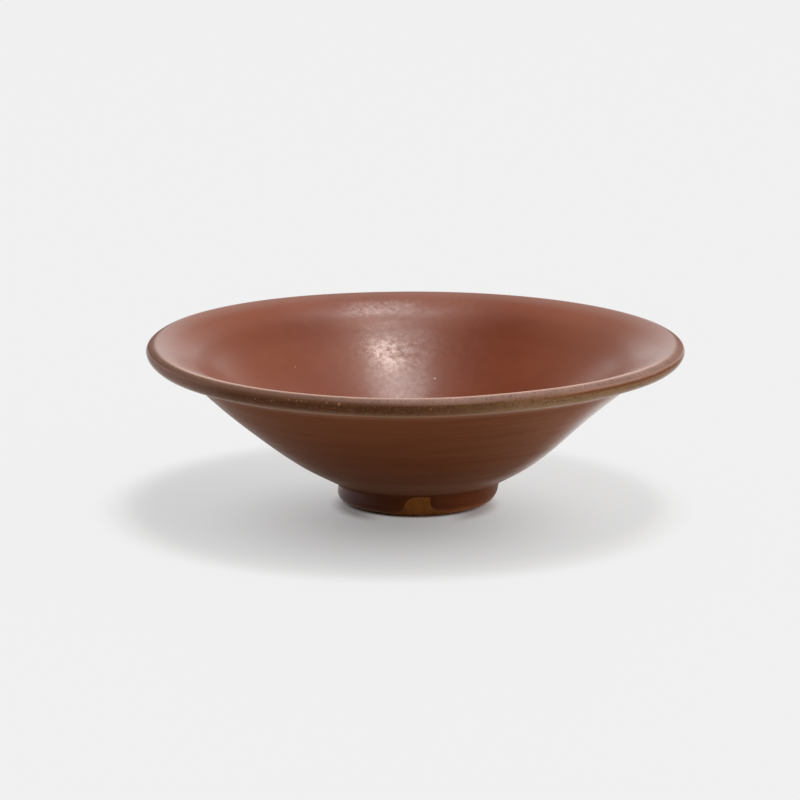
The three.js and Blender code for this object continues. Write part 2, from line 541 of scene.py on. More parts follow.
# %% [markdown]
# ## Clay under the skin
# The clay lies one coat of glaze inside the skin, so its line is the skin moved square to itself. At its
# lower end on the foot the real glaze doesn't stop at full thickness: it rolls down to the clay, so the
# skin is drawn in there. Inside, a finger has pressed one shallow ring below the crest.

# %% Draw the clay
glaze_roll = 1.0 * mm  # rounded lower end of the glaze on the foot
least_glaze = 0.2  # share of the coat at that very end
finger_drop = 7.5 * mm  # the finger's ring, from the crest down
finger_width = 4.0 * mm
finger_depth = 0.03 * mm


def outward_from(line):
    normals = []
    for k in range(len(line)):
        ahead = line[min(k + 1, len(line) - 1)] - line[max(k - 1, 0)]
        normals.append(-left_of(ahead.normalized()))
    return normals


skin_out = outward_from(skin)
clay = [place - coat * out for place, out in zip(skin, skin_out)]
clay[floor_at].x = 0.0
for k, run in enumerate(runs):
    if run < glaze_roll:
        share = max(least_glaze, math.sqrt(1 - (1 - run / glaze_roll) ** 2))
        skin[k] = clay[k].lerp(skin[k], share)
    from_finger = abs(run - crest_run - finger_drop) / finger_width
    if from_finger < 1:
        skin[k] = skin[k] - finger_depth * (1 + math.cos(math.pi * from_finger)) / 2 * skin_out[k]
print(len(clay), "points along the clay")

# %% [markdown]
# ## A wheel of Geometry Nodes
# A bowl is a rule more than a mesh: the same section at every angle, plus what the hand and the kiln did
# to it. So the wheel is a Geometry Nodes tree. It lays out a grid with one row for each point of the
# section, turns each row round the axis, and then lets the shape stray a little. The wall leans as a
# hand-thrown wall does, the crease above the foot runs uneven, and the rim and its lip are a little out
# of round. Shallow rings follow the potter's fingers, and broad dimples follow the glaze. Rings and
# dimples only touch the outer skin, and only sink it, so the bowl stays inside its box.

# %% Say how the shape strays
foot_lean = 0.3 * mm  # how far the foot stands to the right of the lip
foot_heights = (6 * mm, 15 * mm)  # between which that lean ends
belly_lean = -1.2 * mm  # how far the wall swings to the left between foot and lip
belly_heights = (12 * mm, 28 * mm, widest_height)  # where the swing starts, is widest and ends
crease_slip = 0.8 * mm  # how far the crease slides up the wall at the right and at the front
slip_heights = (0.5 * mm, crease_height, 16 * mm)
crease_lift = 0.65 * mm  # and how much higher it is at the very front
lift_heights = (0.5 * mm, crease_height, 13 * mm)
rim_corner = 1.5 * mm  # how far the rim bulges out of round at the back left
rim_flat = 0.6 * mm  # and how far it is pressed in at the front right
rim_heights = (24 * mm, arris_height)  # between which both set in
lip_dip = 0.6 * mm  # how much lower the lip hangs at the front left
dip_heights = (30 * mm, arris_height)
dip_bearings = (0.6, 1.0)  # cosines of the angle to the front left
front_left = Vector((-0.45, -0.89, 0))
arris_lift = 0.25 * mm  # how much higher the lip's lower edge sits all along the front
arris_heights = (34 * mm, arris_height, widest_height)
arris_front = (-20 * mm, -50 * mm)  # how far in front of the axis that sets in


def lean_of(z):
    foot = span(z, *foot_heights, foot_lean, 0.0)
    wall = times(hump(z, *belly_heights), belly_lean)
    return sums("ADD", foot, wall)


def crease_stray(x, y, z):
    to_front_right = sums("DIVIDE", sums("SUBTRACT", x, y), foot_radius)
    slip = times(to_front_right, hump(z, *slip_heights), crease_slip)
    in_front = span(y, 0.0, -foot_radius)
    lift = times(hump(z, *lift_heights), in_front, crease_lift)
    along = uphill(foot_slope)
    return times(slip, along.x), sums("ADD", times(slip, along.y), lift)


def rim_bulge(x, y, z, outward):
    out_x, out_y, _ = axes(outward)
    corner = sums("POWER", sums("ABSOLUTE", times(out_x, out_y, 2.0)), 2.0)
    back_left = times(sums("LESS_THAN", x, 0.0), sums("GREATER_THAN", y, 0.0))
    front_right = times(sums("GREATER_THAN", x, 0.0), sums("LESS_THAN", y, 0.0))
    pressed = times(front_right, rim_flat)
    out_of_round = sums("SUBTRACT", times(back_left, rim_corner), pressed)
    return times(corner, span(z, *rim_heights), out_of_round)


def lip_rise(y, z, outward):
    along_front = span(y, *arris_front)
    lift = times(hump(z, *arris_heights), along_front, arris_lift)
    dip = span(vectors("DOT_PRODUCT", outward, front_left), *dip_bearings)
    return sums("SUBTRACT", lift, times(dip, span(z, *dip_heights), lip_dip))


def stray_of(place):
    x, y, z = axes(place)
    outward = vectors("NORMALIZE", vector_of(x, y))
    slip_out, slip_up = crease_stray(x, y, z)
    wider = sums("ADD", rim_bulge(x, y, z, outward), slip_out)
    higher = sums("ADD", slip_up, lip_rise(y, z, outward))
    moved = vector_of(x=lean_of(z), z=higher)
    return vectors("ADD", moved, scaled(outward, wider))


# %% Lay out the wheel
wheel = bpy.data.node_groups.new("throwing_wheel", "GeometryNodeTree")
add_socket(wheel, "Section", "NodeSocketGeometry")
add_socket(wheel, "Turns", "NodeSocketInt", value=256)
wheel_numbers = {
    "Ring spacing": 2 * mm, "Ring depth": 0.0, "Dimple size": 8 * mm, "Dimple depth": 0.0, "Seed": 0.0}
for label, value in wheel_numbers.items():
    add_socket(wheel, label, "NodeSocketFloat", value=value)
add_socket(wheel, "Finish", "NodeSocketMaterial")
add_socket(wheel, "Piece", "NodeSocketGeometry", "OUTPUT")
wheel_inputs = {i.name: i.identifier for i in wheel.interface.items_tree if i.in_out == "INPUT"}

given = put(wheel, "NodeGroupInput").outputs
points = put(wheel, "GeometryNodeAttributeDomainSize", {"Geometry": given["Section"]}, component="MESH")
columns = sums("ADD", given["Turns"], 1)
grid = put(wheel, "GeometryNodeMeshGrid", {
    "Vertices X": points.outputs["Point Count"], "Vertices Y": columns})
index = put(wheel, "GeometryNodeInputIndex").outputs[0]
row = sums("FLOOR", sums("DIVIDE", sums("ADD", index, 0.5), columns))
column = sums("SUBTRACT", index, times(row, columns))
bearing = times(sums("DIVIDE", column, given["Turns"]), -2 * math.pi)
print("wheel inputs:", list(wheel_inputs))


# %% Turn the section and sink the rings and dimples
def sampled(tree, section, index, attribute, data_type):
    named = put(tree, "GeometryNodeInputNamedAttribute", {"Name": attribute}, data_type=data_type)
    picked = put(tree, "GeometryNodeSampleIndex", data_type=data_type, domain="POINT", inputs={
        "Geometry": section, "Value": named.outputs["Attribute"], "Index": index})
    return picked.outputs[0]


def turned(flat, bearing):
    out, _, up = axes(flat)
    across = times(out, sums("COSINE", bearing))
    along = times(out, sums("SINE", bearing))
    return vector_of(across, along, up)


ring_reach = 0.25  # how far the noise changes along a ring, once round, against one ring's spacing
place = turned(sampled(wheel, given["Section"], row, "position", "FLOAT_VECTOR"), bearing)
push = turned(sampled(wheel, given["Section"], row, "push", "FLOAT_VECTOR"), bearing)
run_here = sampled(wheel, given["Section"], row, "run", "FLOAT")

round_once = turned(put(wheel, "ShaderNodeCombineXYZ", {0: ring_reach}).outputs[0], bearing)
ring_steps = vector_of(z=sums("DIVIDE", run_here, given["Ring spacing"]))
ring_place = vectors("ADD", round_once, ring_steps)
rings = noise(ring_place, given["Seed"], 1.0, Detail=1.0)
dimple_scale = sums("DIVIDE", 1.0, given["Dimple size"])
dimples = noise(place, given["Seed"], dimple_scale, Detail=1.0)
ring_sink = times(rings, given["Ring depth"])
dimple_sink = times(dimples, given["Dimple depth"])
sink = times(sums("ADD", ring_sink, dimple_sink), -1.0)
strayed = vectors("ADD", place, stray_of(place))
final_place = vectors("ADD", strayed, scaled(push, sink))
print("wheel:", len(wheel.nodes), "nodes so far")

# %% Close and shade the piece
sharpest_round = math.radians(40)  # an edge that turns by more stays sharp


def stored(geometry, name, value, data_type):
    return follow("GeometryNodeStoreNamedAttribute", data_type=data_type, domain="POINT", inputs={
        "Geometry": geometry, "Name": name, "Value": value}).outputs[0]


kept_run = stored(grid.outputs["Mesh"], "run", run_here, "FLOAT")
kept_push = stored(kept_run, "push", push, "FLOAT_VECTOR")
spun = put(wheel, "GeometryNodeSetPosition", {"Geometry": kept_push, "Position": final_place})
closed = put(wheel, "GeometryNodeMergeByDistance", {"Geometry": spun.outputs[0], "Distance": same_spot})
corner = put(wheel, "GeometryNodeInputMeshEdgeAngle").outputs["Unsigned Angle"]
is_round = put(wheel, "FunctionNodeCompare", {0: corner, 1: sharpest_round}, operation="LESS_THAN")
smooth = put(wheel, "GeometryNodeSetShadeSmooth", {"Geometry": closed.outputs[0]}, domain="FACE")
shaded = put(wheel, "GeometryNodeSetShadeSmooth", domain="EDGE", inputs={
    "Geometry": smooth.outputs[0], "Shade Smooth": is_round.outputs[0]})
whole = put(wheel, "GeometryNodeRealizeInstances", {"Geometry": shaded.outputs[0]})
coated = put(wheel, "GeometryNodeSetMaterial", {"Geometry": whole.outputs[0], "Material": given["Finish"]})
put(wheel, "NodeGroupOutput", {"Piece": coated.outputs[0]})
print("wheel:", len(wheel.nodes), "nodes in all")


# %% Define how a piece is thrown
def as_plain_mesh(piece):
    graph = bpy.context.evaluated_depsgraph_get()
    made = bpy.data.meshes.new_from_object(
        piece.evaluated_get(graph), preserve_all_data_layers=True, depsgraph=graph)
    drawn = piece.data
    piece.modifiers.clear()
    piece.data = made
    made.name = piece.name
    bpy.data.meshes.remove(drawn)
    print(piece.name, "has", sum(len(face.vertices) - 2 for face in made.polygons), "triangles")


def throw(name, section, finish, settings):
    line = bpy.data.meshes.new(name + "_section")
    places = [(place.x, 0, place.y) for place, run, out in section]
    line.from_pydata(places, [(k, k + 1) for k in range(len(places) - 1)], [])
    line.attributes.new("run", "FLOAT", "POINT").data.foreach_set("value", [run for _, run, _ in section])
    pushes = [level for _, _, out in section for level in (out.x, 0, out.y)]
    line.attributes.new("push", "FLOAT_VECTOR", "POINT").data.foreach_set("vector", pushes)
    piece = new_object(name, line)
    turning = piece.modifiers.new("throwing wheel", "NODES")
    turning.node_group = wheel
    for label, value in {**settings, "Finish": finish}.items():
        turning[wheel_inputs[label]] = value
    as_plain_mesh(piece)
    return piece


# %% [markdown]
# ## What the glazes have in common
# An iron glaze is never one colour. It pools and thins, it carries specks, and it breaks to another
# colour on every edge. Five shader groups hold these effects, and each finish below sets their values.
# The first makes blotches, which become streaks when they are stretched round the bowl. The second
# scatters specks. The third marks a line at a given run along the section, such as a worn edge. The
# fourth marks one fleck, by its bearing round the bowl and its run. The fifth mixes the peppered ground
# of the lip, which the worn band shares with the narrow facet above it.

# %% Build the blotches and the specks
number = "NodeSocketFloat"
tint = "NodeSocketColor"


def start_group(name, inputs, outputs=(("Mask", number),)):
    tree = bpy.data.node_groups.new(name, "ShaderNodeTree")
    for label, value in inputs.items():
        add_socket(tree, label, tint if isinstance(value, tuple) else number, value=value)
    for label, kind in outputs:
        add_socket(tree, label, kind, "OUTPUT")
    return tree, put(tree, "NodeGroupInput").outputs


blotches, given = start_group("glaze_blotches", {
    "Size": 6 * mm, "Stretch": 1.0, "Softness": 0.2, "Detail": 3.0, "Seed": 0.0})
squeezed = vectors("MULTIPLY", object_place(blotches), vector_of(1.0, 1.0, given["Stretch"]))
blotch_scale = sums("DIVIDE", 1.0, given["Size"])
clouded = noise(squeezed, given["Seed"], blotch_scale, Detail=given["Detail"], Roughness=0.6)
blotch_start = sums("SUBTRACT", 0.5, given["Softness"])
blotch_end = sums("ADD", 0.5, given["Softness"])
put(blotches, "NodeGroupOutput", {"Mask": span(clouded, blotch_start, blotch_end)})

smallest_speck = 0.4  # share of the given radius
specks, given = start_group("glaze_specks", {
    "Spacing": 2 * mm, "Radius": 0.3 * mm, "Share": 0.5, "Seed": 0.0})
cells = put(specks, "ShaderNodeTexVoronoi", voronoi_dimensions="4D", inputs={
    "Vector": object_place(specks), "W": given["Seed"],
    "Scale": sums("DIVIDE", 1.0, given["Spacing"])}).outputs
lot = put(specks, "ShaderNodeSeparateColor", {0: cells["Color"]}).outputs
reach = sums("DIVIDE", given["Radius"], given["Spacing"])
reach = times(reach, sums("ADD", lot[1], smallest_speck))
speck = span(cells["Distance"], times(reach, 0.5), reach, 1.0, 0.0)
drawn = sums("LESS_THAN", lot[0], given["Share"])
put(specks, "NodeGroupOutput", {"Mask": times(speck, drawn)})
print("shared groups:", blotches.name, specks.name)


# %% Build the edge line and the fleck
def run_from(tree, start):
    run = put(tree, "ShaderNodeAttribute", attribute_name="run").outputs["Fac"]
    return sums("SUBTRACT", run, start)


waver_size = 3 * mm
edge_line, given = start_group("glaze_edge_line", {
    "Run": 0.0, "Width": 0.5 * mm, "Waver": 0.2 * mm, "Seed": 0.0})
waver = noise(object_place(edge_line), given["Seed"], 1 / waver_size, Detail=2.0)
stray = times(sums("SUBTRACT", waver, 0.5), given["Waver"])
apart = sums("ABSOLUTE", sums("ADD", run_from(edge_line, given["Run"]), stray))
put(edge_line, "NodeGroupOutput", {"Mask": span(apart, 0.0, given["Width"], 1.0, 0.0)})

fleck, given = start_group("glaze_fleck", {"Bearing": 0.0, "Run": 0.0, "Radius": 0.3 * mm})
x, y, _ = axes(object_place(fleck))
bearing_here = sums("ARCTAN2", x, times(y, -1.0))
from_axis = vectors("LENGTH", vector_of(x, y))
across = times(sums("SUBTRACT", bearing_here, given["Bearing"]), from_axis)
apart = vectors("LENGTH", vector_of(across, run_from(fleck, given["Run"])))
fleck_mask = span(apart, times(given["Radius"], 0.5), given["Radius"], 1.0, 0.0)
put(fleck, "NodeGroupOutput", {"Mask": fleck_mask})
print("shared groups:", edge_line.name, fleck.name)

# %% Build the ground of the lip
lip_ground, given = start_group("lip_ground", {
    "Left": colour(98, 56, 28), "Right": colour(162, 120, 84), "From": -10 * mm, "To": 55 * mm},
    outputs=(("Colour", tint), ("Height", number)))


def shared_mask(tree, shared, **inputs):
    return put(tree, "ShaderNodeGroup", node_tree=shared, inputs=inputs).outputs["Mask"]


pepper = shared_mask(lip_ground, specks, Spacing=0.45 * mm, Radius=0.3 * mm, Share=0.6)
crumbs = shared_mask(lip_ground, specks, Spacing=0.5 * mm, Radius=0.26 * mm, Share=0.5, Seed=4.0)
patches = shared_mask(lip_ground, blotches, Size=7 * mm, Stretch=1.5, Softness=0.2, Detail=4.0, Seed=2.0)
to_right = axes(object_place(lip_ground))[0]
right_share = span(to_right, given["From"], given["To"])
peppered = tinted(
    mixed(right_share, given["Left"], given["Right"]),
    (times(patches, 0.3), (70, 42, 20)),
    (times(pepper, 0.5), (58, 34, 18)),
    (times(crumbs, 0.3), (160, 126, 84)))
dots = sums("SUBTRACT", crumbs, pepper)
put(lip_ground, "NodeGroupOutput", {"Colour": peppered, "Height": dots})
print("shared group:", lip_ground.name)


# %% Define how a finish is started and fed
def start_finish(name, shader_inputs):
    finish, tree = blank_finish(name)
    shader = put(tree, "ShaderNodeBsdfPrincipled", shader_inputs)
    put(tree, "ShaderNodeOutputMaterial", {"Surface": shader.outputs[0]})
    return finish, tree, shader


def feed(shader, **sockets):
    tree = shader.id_data
    for name, source in sockets.items():
        tree.links.new(source, shader.inputs[name.replace("_", " ")])
    print("finish mixed from", len(tree.nodes), "nodes")


def roughened(height, depth):
    bump = follow("ShaderNodeBump", {"Height": height, "Distance": depth, "Strength": 1.0})
    return bump.outputs["Normal"]


def edge_on(tree):
    return put(tree, "ShaderNodeLayerWeight", {"Blend": 0.5}).outputs["Facing"]


def flecks_of(tree, flecks):
    whole = 0.0
    for bearing, run, radius in flecks:
        mark = shared_mask(tree, fleck, Bearing=math.radians(bearing), Run=run, Radius=radius)
        whole = sums("MAXIMUM", whole, mark)
    return whole


# %% [markdown]
# ## Bare clay
# The clay shows where the glaze missed it: on the ring that stands on the table, in the hollow under the
# bowl and in one patch on the front of the foot. It is a sandy orange-brown stoneware, quite dull, with
# grains and darker iron spots. Fine noise gives the grain, and the speck group gives the spots.

# %% Mix the bare clay
bare_clay, tree, shader = start_finish("bare_clay", {"Specular IOR Level": 0.2})
grain = shared_mask(tree, blotches, Size=0.5 * mm, Softness=0.25, Detail=4.0)
cloud = shared_mask(tree, blotches, Size=4 * mm, Softness=0.25, Seed=3.0)
spots = shared_mask(tree, specks, Spacing=0.9 * mm, Radius=0.22 * mm, Share=0.35)
spotted = tinted(
    mixed(cloud, colour(176, 108, 46), colour(198, 128, 60)),
    (times(grain, 0.5), (122, 72, 26)),
    (times(spots, 0.7), (92, 50, 20)))
feed(shader, Base_Color=spotted, Roughness=between(grain, 0.75, 0.95),
     Normal=roughened(grain, 0.12 * mm))

# %% [markdown]
# ## Brown glaze, outside
# On the wall and the foot the glaze is thick, dark and rather glossy. Long streaks follow the turning,
# and blotches shift it between a redder and a yellower brown. Towards the right the brown is also painted
# paler, a painted light for the brighter room on that side. It breaks to orange where it thins, at its
# lower end on the foot. On the right that orange edge is painted lighter still, partly the thin glaze and
# partly painted light that the table throws up, and on the left of the foot a mauve patch is a painted
# gloss. A low reflection keeps the brown deep, as the wall mostly mirrors its own shadow, and a faint warm
# sheen adds the light that scatters in the glaze. Seen nearly edge-on, though, a glaze mirrors the pale
# room, so a coat comes up towards the outline of the wall, most of all at the upper right.

# %% Mix the brown glaze
brown_glaze, tree, shader = start_finish("brown_glaze", {
    "Specular IOR Level": 0.015, "Coat Roughness": 0.12,
    "Sheen Weight": 0.36, "Sheen Roughness": 0.4, "Sheen Tint": (1.0, 0.57, 0.36, 1.0)})
streaks = shared_mask(tree, blotches, Size=30 * mm, Stretch=24.0, Softness=0.22, Detail=3.0)
clouds = shared_mask(tree, blotches, Size=18 * mm, Softness=0.25, Detail=2.0, Seed=5.0)
mist = shared_mask(tree, blotches, Size=1.6 * mm, Softness=0.3, Detail=3.0, Seed=8.0)
thin_edge_and_bounce_light = shared_mask(tree, edge_line, Run=0.0, Width=2.6 * mm, Waver=2.4 * mm)
to_right = axes(object_place(tree))[0]
past_crease = run_from(tree, crease_run)
on_foot = span(past_crease, -0.6 * mm, 0.6 * mm, 1.0, 0.0)
brown_with_painted_light = tinted(
    mixed(clouds, colour(107, 50, 24), colour(105, 52, 20)),
    (times(streaks, span(to_right, 0.0, 45 * mm, 0.4, 0.9)), (130, 76, 45)),
    (times(mist, 0.2), (122, 64, 30)),
    # painted light: paler towards the right, for the brighter room on that side
    (span(to_right, 24 * mm, 46 * mm, 0.0, 0.38), (150, 86, 60)),
    (times(on_foot, span(to_right, 2 * mm, 16 * mm, 0.0, 0.35)), (150, 76, 34)),
    # painted gloss: a mauve patch on the left of the foot stands in for its reflection
    (times(on_foot, span(to_right, -18 * mm, -8 * mm, 0.4, 0.0)), (140, 68, 62)),
    # partly the orange of the thin glaze, partly painted light from the table, stronger on the right
    (times(thin_edge_and_bounce_light, span(to_right, -4 * mm, 12 * mm, 0.35, 0.95)), (205, 118, 52)))

wet_left = times(on_foot, span(to_right, -20 * mm, -6 * mm, 0.65, 0.1))
up_wall = span(past_crease, -0.6 * mm, 24 * mm)
right_gloss = span(to_right, -10 * mm, 30 * mm, 0.24, 1.0)
edge_gloss = times(span(edge_on(tree), 0.73, 0.96), up_wall, right_gloss)
feed(shader, Base_Color=brown_with_painted_light, Roughness=between(mist, 0.36, 0.44),
     Coat_Weight=sums("MAXIMUM", wet_left, edge_gloss))

# %% [markdown]
# ## Worn glaze, on the lip
# The band of the lip has lost its gloss, and only shines a little where it is seen nearly edge-on. It is
# olive to tan, peppered with fine dark and buff specks, and paler along its lower edge. That edge is partly
# thin glaze and partly a painted reflection of the table below it. Along the front, a pale line just under
# the ridge is a painted highlight. On the left it fades to a dull brown. On the right a thin rust line
# closes it off above. A few buff flecks are larger, where the glaze has chipped, so they are placed one by
# one.

# %% Mix the worn glaze
lip_flecks = [  # bearing from the front in degrees, share of the band from below, radius in millimetres
    (-34.1, 0.71, 0.28), (-30.2, 0.74, 0.28), (-26.2, 0.89, 0.32), (-24.4, 0.89, 0.26), (-23.3, 0.89, 0.3),
    (-17.9, 0.92, 0.32), (-15.3, 0.89, 0.6), (-1.4, 0.97, 0.42), (3.1, 0.71, 0.32)]
band_run = ridge_run - arris_run

worn_glaze, tree, shader = start_finish("worn_glaze", {"Specular IOR Level": 0.1, "Coat Roughness": 0.3})
lip = put(tree, "ShaderNodeGroup", node_tree=lip_ground).outputs
worn_edge_and_reflection = shared_mask(tree, edge_line, Run=arris_run, Width=2.0 * mm, Waver=0.5 * mm)
pale_line = shared_mask(
    tree, edge_line, Run=arris_run + 0.15 * mm, Width=0.4 * mm, Waver=0.3 * mm, Seed=3.0)
rust_line = shared_mask(tree, edge_line, Run=ridge_run - mm, Width=0.7 * mm, Waver=0.5 * mm, Seed=1.0)
chips = flecks_of(tree, [(bearing, arris_run + share * band_run, radius * mm)
                         for bearing, share, radius in lip_flecks])

to_right = axes(object_place(tree))[0]
at_right = span(to_right, 25 * mm, 50 * mm)
at_left = span(to_right, -30 * mm, 20 * mm, 0.85, 0.0)
at_front = hump(to_right, -25 * mm, 12 * mm, 45 * mm)
up_band = times(run_from(tree, arris_run), 1 / band_run)  # 0 at the lower edge, 1 at the ridge
to_ridge = run_from(tree, ridge_run)
low_right = times(span(up_band, 0.3, 0.6, 0.4, 0.0), span(to_right, 5 * mm, 40 * mm))
chipped_with_painted_light = tinted(
    lip["Colour"],
    # partly thin glaze, partly a painted reflection of the table along the lower edge
    (times(worn_edge_and_reflection, 0.6), (154, 114, 80)),
    (times(span(to_ridge, -1.1 * mm, -0.7 * mm), at_right), (170, 128, 112)),
    (low_right, (162, 128, 94)),
    (times(span(to_ridge, -1.6 * mm, 0.0), at_left), (126, 85, 64)),
    # painted highlight: a pale line just under the ridge along the front
    (times(span(to_ridge, -0.9 * mm, -0.3 * mm), at_front, 0.8), (164, 124, 108)),
    (times(span(up_band, 0.2, 0.45, 0.6, 0.0), at_left), (132, 98, 72)),
    (span(to_right, -45 * mm, -72 * mm, 0.0, 0.9), (160, 121, 108)),
    (times(rust_line, at_right), (128, 70, 34)),
    (times(pale_line, 0.5), (178, 140, 108)),
    (times(chips, 0.65), (178, 132, 96)))
wear = shared_mask(tree, blotches, Size=3 * mm, Softness=0.2, Detail=4.0, Seed=2.0)
feed(shader, Base_Color=chipped_with_painted_light, Roughness=between(wear, 0.4, 0.55),
     Coat_Weight=span(edge_on(tree), 0.7, 0.95, 0.0, 0.6),
     Normal=roughened(lip["Height"], 0.03 * mm))

# %% [markdown]
# ## Russet glaze, inside
# Inside, the same glaze is thinner and shows the red of the iron. It is darker in a ring below the lip,
# at either side, and paler towards the sides. Past the crest, on the narrow facet that leads to the band of
# the lip, it turns to the dull brown of the band, with a painted pale reflection of the room over it, most
# of all on the right. Along the front, the crest itself carries a painted highlight, and a softer painted
# highlight fades down from it all round the inside.
# The surface is satin with a glossier film in patches, so the light from above makes a broad soft glow
# with a ragged bright spot in it. The satin is the shader's own roughness. The film is its coat, whose
# weight follows small blotches, and which is duller in one matt ring and towards the sides.

# %% Mix the russet
dark_russet = (112, 46, 24)
russet_glaze, tree, shader = start_finish("russet_glaze", {
    "Specular IOR Level": 0.42, "Coat Roughness": 0.2})
clouds = shared_mask(tree, blotches, Size=20 * mm, Softness=0.22, Detail=3.0, Seed=11.0)
mist = shared_mask(tree, blotches, Size=2.4 * mm, Softness=0.25, Detail=4.0, Seed=6.0)
streaks = shared_mask(tree, blotches, Size=24 * mm, Stretch=9.0, Softness=0.3, Detail=3.0, Seed=7.0)
to_side, to_back, _ = axes(object_place(tree))
far_side = sums("ABSOLUTE", to_side)
down = run_from(tree, crest_run)  # from the crest down the inside, and less than 0 on the facet
# darker in a ring below the lip, towards the sides
darker_side_ring = times(hump(down, 7 * mm, 14 * mm, 22 * mm), span(far_side, 18 * mm, 30 * mm, 0.0, 0.3))
russet = tinted(
    mixed(clouds, colour(146, 69, 37), colour(155, 79, 43)),
    (times(streaks, 0.3), (138, 60, 36)),
    (times(mist, 0.15), (168, 88, 52)),
    (darker_side_ring, dark_russet),
    (times(hump(to_side, 8 * mm, 20 * mm, 36 * mm), 0.15), dark_russet),
    (span(to_side, 24 * mm, 50 * mm, 0.0, 0.6), (176, 108, 82)),
    (span(to_side, -28 * mm, -55 * mm, 0.0, 0.3), (168, 96, 64)))
print("russet mixed")

# %% Add the facet, the crest and the pinholes
pale_pinholes = [(172.4, 110.6, 0.45), (-136.5, 103.0, 0.22)]  # bearing in degrees, run and radius in mm
dark_pinholes = [(169.0, 110.1, 0.4), (-117.4, 103.0, 0.4)]


def pinholes_of(tree, holes):
    return flecks_of(tree, [(bearing, run * mm, radius * mm) for bearing, run, radius in holes])


# the facet's pale mauve is partly a painted reflection of the room, most of all on the right
lip = put(tree, "ShaderNodeGroup", node_tree=lip_ground, inputs={
    "Left": colour(150, 108, 90), "Right": colour(178, 138, 124), "From": -35 * mm, "To": 5 * mm}).outputs
to_band = times(span(run_from(tree, ridge_run), 0.0, 1.8 * mm, 1.0, 0.0),
                span(to_side, -45 * mm, 0.0, 1.0, 0.35))
facet_with_reflection = tinted(
    lip["Colour"],
    (to_band, (124, 86, 68)),
    (span(to_back, -30 * mm, 5 * mm), (142, 94, 76)),
    (span(to_back, 10 * mm, 60 * mm), (168, 124, 114)))
on_facet = span(down, -0.5 * mm, 0.0, 1.0, 0.0)
# painted highlight: a pale band that fades down from the crest all round the inside
painted_bloom_highlight = times(span(down, 0.0, 6 * mm, 0.4, 0.0), span(down, -0.5 * mm, 0.0))
# painted highlight: the pale line on the crest, along the front
painted_crest_highlight = shared_mask(tree, edge_line, Run=crest_run - 0.3 * mm, Width=1.0 * mm, Waver=0.2 * mm)
pitted_and_painted_highlights = tinted(
    mixed(on_facet, russet, facet_with_reflection),
    (painted_bloom_highlight, (182, 140, 126)),
    (times(painted_crest_highlight, span(to_back, -45 * mm, -5 * mm, 0.95, 0.0)), (226, 182, 162)),
    (times(pinholes_of(tree, pale_pinholes), 0.7), (226, 200, 188)),
    (times(pinholes_of(tree, dark_pinholes), 0.5), (70, 34, 26)))
print("facet, crest and pinholes added")

# %% Lay the film
film_mean = 0.55
film_contrast = 0.85
glow_left = 10 * mm  # how far left of the axis the glow below the far lip lies
film = shared_mask(tree, blotches, Size=1.5 * mm, Softness=0.2, Detail=6.0, Seed=9.0)
matt_ring = sums("SUBTRACT", span(down, 11 * mm, 14 * mm), span(down, 16 * mm, 19 * mm))
film_low = span(down, 26 * mm, 36 * mm, 1.0, 1.55)
dull_side = times(span(far_side, 35 * mm, 55 * mm, 0.0, 0.35), span(down, 8 * mm, 14 * mm))
dull_left = times(hump(to_side, -54 * mm, -63 * mm, -71 * mm), 0.4)
below_lip = times(hump(down, 2 * mm, 7 * mm, 14 * mm), span(to_back, 30 * mm, 50 * mm))
beside_glow = sums("ABSOLUTE", sums("ADD", to_side, glow_left))
dull_lip = times(below_lip, span(beside_glow, 5 * mm, 14 * mm, 0.0, 0.9))
film_left = times(
    rest_of(times(matt_ring, 0.75)), span(down, -1.0 * mm, 0.3 * mm), film_low,
    rest_of(sums("MAXIMUM", dull_side, dull_left)), rest_of(dull_lip))

in_spot = sums("MAXIMUM", hump(down, 18 * mm, 26 * mm, 35 * mm), below_lip)
ragged = times(span(far_side, 16 * mm, 32 * mm, 1.0, 0.0), between(in_spot, 0.45, 1.0))
film_lot = times(sums("SUBTRACT", film, 0.5), ragged)
film_weight = sums("ADD", times(film_lot, film_contrast), film_mean)
satin = between(mist, 0.37, 0.43)
dull_facet = span(down, -1.5 * mm, -0.2 * mm, 0.75, 0.37)
feed(shader, Base_Color=pitted_and_painted_highlights, Roughness=sums("MAXIMUM", satin, dull_facet),
     Coat_Weight=times(film_weight, film_left), Normal=roughened(film_lot, 0.024 * mm))

# %% [markdown]
# ## Throwing the pieces
# Now the wheel turns six sections. The clay is two of them: the thrown body, and the foot ring that is
# turned under it when it is leather-hard. Each coat of glaze is a thin closed section of its own, from the
# clay out to the skin, and it ends where the glaze changes: at the crease, at the arris and at the ridge
# of the lip. Near those borders the rings and dimples are calmed, so that neighbours still meet.

# %% Define the sections of clay and coats
still = Vector((0, 0))
coarse = 6  # hidden clay is drawn with one point in so many


def clay_points(first, last):
    kept = [k for k in range(first, last + 1) if k in (first, last) or k % coarse == 0]
    return [(clay[k], runs[k], still) for k in kept]


def coat_section(first, last, calm=0.0):
    outside = []
    for k in range(first, last + 1):
        to_border = min(runs[k] - runs[first], runs[last] - runs[k])
        give = min(1.0, to_border / calm) if calm else 1.0
        outside.append((skin[k], runs[k], give * skin_out[k]))
    section = clay_points(first, last)[::-1] + outside
    return section if section[0][0].x == 0 else section + section[:1]


# %% Throw the clay
underside = straight(spot(0, seat_height), clay[crease_at], wall_pitch)
body_section = [(place, 0.0, still) for place in underside] + clay_points(crease_at, floor_at)
thrown_body = throw("thrown_body", body_section, bare_clay, {"Turns": 256})

